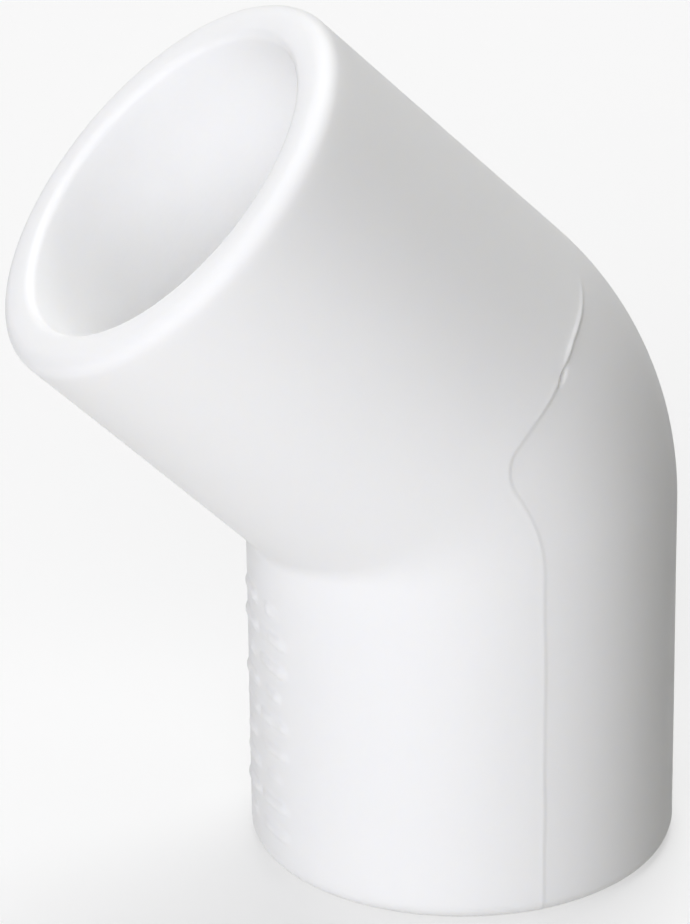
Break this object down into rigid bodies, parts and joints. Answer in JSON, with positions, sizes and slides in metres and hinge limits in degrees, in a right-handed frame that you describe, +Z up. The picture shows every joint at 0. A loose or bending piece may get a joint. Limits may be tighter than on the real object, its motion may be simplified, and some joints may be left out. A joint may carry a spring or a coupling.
{
  "type": "pipe elbow fitting",
  "caption": "White moulded PVC pipe elbow, slip socket at each end, turning the pipe run through 45 degrees.",
  "frame": {"origin": "centre of the base of the bounding box, on the plane of the lower socket's mouth; the lower socket's axis is parallel to Z at x = +7.412 mm, y = 0", "axes": "+Z up along the lower socket's axis; the upper socket's axis lies in the XZ plane and leans 45 degrees from +Z towards -X; +Y is across the bend"},
  "size_m": [0.0418, 0.027, 0.0555],
  "materials": {
    "white_pvc": "smooth moulded satin"
  },
  "bodies": {
    "root": {"elbow_body": "white_pvc"}
  },
  "joints": []
}
